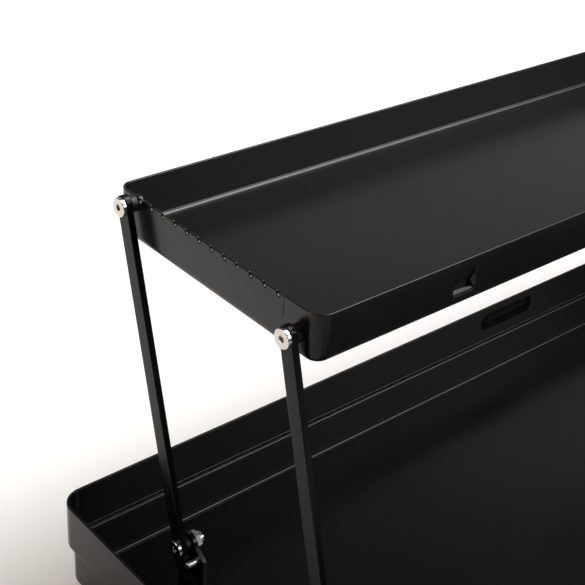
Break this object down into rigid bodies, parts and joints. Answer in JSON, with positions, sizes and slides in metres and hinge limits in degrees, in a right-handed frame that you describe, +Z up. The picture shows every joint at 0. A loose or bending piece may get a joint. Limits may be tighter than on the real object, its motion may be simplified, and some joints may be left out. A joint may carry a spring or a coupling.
{
  "type": "folding side table",
  "caption": "Low two-tier folding side table: a shelf tray on pivoting flat-bar legs that folds down into a deep tray.",
  "frame": {"origin": "centre of the table's footprint, on the plane the rubber feet stand on", "axes": "+X along the table's length to its right, +Y to its back, +Z up"},
  "size_m": [0.8052, 0.4356, 0.2665],
  "materials": {
    "black_tray_coat": "satin",
    "black_leg_coat": "satin",
    "nickel_steel": "polished",
    "zinc_steel": "satin",
    "black_nylon": "matte",
    "black_rubber": "matte"
  },
  "bodies": {
    "deep_tray": {"lower_tray": "black_tray_coat", "left_bracket": "black_tray_coat", "left_bracket_screws": "zinc_steel", "left_bracket_nuts": "zinc_steel", "left_lower_bolts": "nickel_steel", "left_lower_spacers": "black_nylon", "left_lower_nuts": "zinc_steel", "left_stop_pins": "zinc_steel", "front_left_foot": "black_rubber", "rear_left_foot": "black_rubber", "right_bracket": "black_tray_coat", "right_bracket_screws": "zinc_steel", "right_bracket_nuts": "zinc_steel", "right_lower_bolts": "nickel_steel", "right_lower_spacers": "black_nylon", "right_lower_nuts": "zinc_steel", "right_stop_pins": "zinc_steel", "front_right_foot": "black_rubber", "rear_right_foot": "black_rubber", "foot_screws": "zinc_steel", "foot_nuts": "zinc_steel"},
    "rear_left_leg": {"rear_left_leg": "black_leg_coat"},
    "front_left_leg": {"front_left_leg": "black_leg_coat"},
    "rear_right_leg": {"rear_right_leg": "black_leg_coat"},
    "front_right_leg": {"front_right_leg": "black_leg_coat"},
    "shelf": {"upper_tray": "black_tray_coat", "left_upper_bolts": "nickel_steel", "left_upper_spacers": "black_nylon", "left_upper_nuts": "black_tray_coat", "right_upper_bolts": "nickel_steel", "right_upper_spacers": "black_nylon", "right_upper_nuts": "black_tray_coat"}
  },
  "joints": [
    {"name": "shelf_fold", "type": "hinge", "parent": "deep_tray", "child": "rear_left_leg", "pos_m": [-0.3648, 0.14361, 0.065], "axis": [1, 0, 0], "range_deg": [0, 105.6]},
    {"name": "front_left_fold", "type": "hinge", "parent": "deep_tray", "child": "front_left_leg", "pos_m": [-0.3648, 0.01091, 0.0553], "axis": [1, 0, 0], "range_deg": [0, 105.6]},
    {"name": "rear_right_fold", "type": "hinge", "parent": "deep_tray", "child": "rear_right_leg", "pos_m": [0.3648, 0.14361, 0.065], "axis": [1, 0, 0], "range_deg": [0, 105.6]},
    {"name": "front_right_fold", "type": "hinge", "parent": "deep_tray", "child": "front_right_leg", "pos_m": [0.3648, 0.01091, 0.0553], "axis": [1, 0, 0], "range_deg": [0, 105.6]},
    {"name": "shelf_level", "type": "hinge", "parent": "rear_left_leg", "child": "shelf", "pos_m": [-0.3648, 0.1982, 0.26052], "axis": [1, 0, 0], "range_deg": [-105.6, 0]}
  ],
  "couplings": [
    {"joint": "front_left_fold", "follows": "shelf_fold", "ratio": 1},
    {"joint": "rear_right_fold", "follows": "shelf_fold", "ratio": 1},
    {"joint": "front_right_fold", "follows": "shelf_fold", "ratio": 1},
    {"joint": "shelf_level", "follows": "shelf_fold", "ratio": -1}
  ]
}
